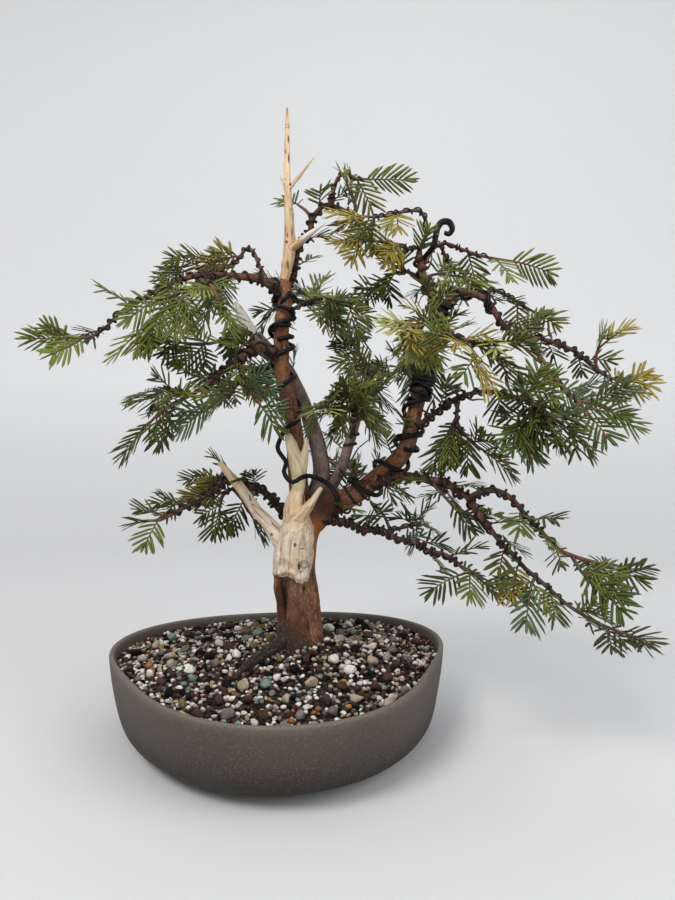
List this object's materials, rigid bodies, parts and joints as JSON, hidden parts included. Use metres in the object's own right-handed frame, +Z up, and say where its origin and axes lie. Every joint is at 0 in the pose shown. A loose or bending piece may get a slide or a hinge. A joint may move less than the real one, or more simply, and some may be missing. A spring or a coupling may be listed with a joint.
{
  "type": "potted yew bonsai",
  "caption": "Wired bonsai yew with stripped, bleached deadwood on its trunk and tip, standing in a low rounded grey bowl filled with mixed grit.",
  "frame": {"origin": "on the surface that the bowl stands on, under the middle of the bowl's flat underside", "axes": "+Z up, +X to the right and +Y away as seen from the front, where the stripped wood on the trunk shows"},
  "size_m": [0.5317, 0.3327, 0.5565],
  "materials": {
    "bowl": "matte unglazed grey stoneware with soft mottling",
    "grit": "mixed pale pumice, brown and mauve lava grit, rough",
    "bark": "red-brown flaking bark",
    "grey_bark": "older grey-mauve bark",
    "deadwood": "bleached bare wood with grey grain and checks",
    "wire": "black anodised, satin",
    "foliage": "leathery dark green needles, some olive"
  },
  "bodies": {
    "root": {"bowl": "bowl", "grit": "grit", "trunk": "bark", "deadwood_trunk": "deadwood", "deadwood_left": "deadwood", "leader_front": "bark", "leader_back": "grey_bark", "bough_right_low": "bark", "bough_right_high": "bark", "bough_centre": "grey_bark", "bough_low_right": "bark", "bough_low_right_upper": "bark", "bough_low_right_lower": "bark", "bough_under_right": "bark", "bough_low_left": "bark", "bough_high_left": "bark", "bough_mid_left": "bark", "bough_top": "bark", "bough_right_outer": "bark", "bough_right_mid": "bark", "bough_back_right": "bark", "bough_back_left": "bark", "deadwood_spire": "deadwood", "deadwood_back": "deadwood", "wire_leader": "wire", "wire_right": "wire", "foliage_left_tip": "foliage", "foliage_left_low": "foliage", "foliage_left_top": "foliage", "foliage_left_front": "foliage", "foliage_mid_left_upper": "foliage", "foliage_mid_left": "foliage", "foliage_mid_left_hanging": "foliage", "foliage_low_left_tip": "foliage", "foliage_low_left": "foliage", "foliage_low_left_back": "foliage", "foliage_top": "foliage", "foliage_top_front": "foliage", "foliage_top_left": "foliage", "foliage_arch": "foliage", "foliage_right_top": "foliage", "foliage_inner_top": "foliage", "foliage_outer_tip": "foliage", "foliage_outer_twig": "foliage", "foliage_outer_low": "foliage", "foliage_front_right": "foliage", "foliage_mid_right": "foliage", "foliage_near_right": "foliage", "foliage_centre": "foliage", "foliage_centre_front": "foliage", "foliage_centre_upper": "foliage", "foliage_fan": "foliage", "foliage_low_right_upper": "foliage", "foliage_low_right_lower": "foliage", "foliage_low_right_inner": "foliage", "foliage_under_right": "foliage", "foliage_under_right_inner": "foliage", "foliage_back_low": "foliage", "foliage_back_right": "foliage", "foliage_back_left": "foliage"}
  },
  "joints": []
}
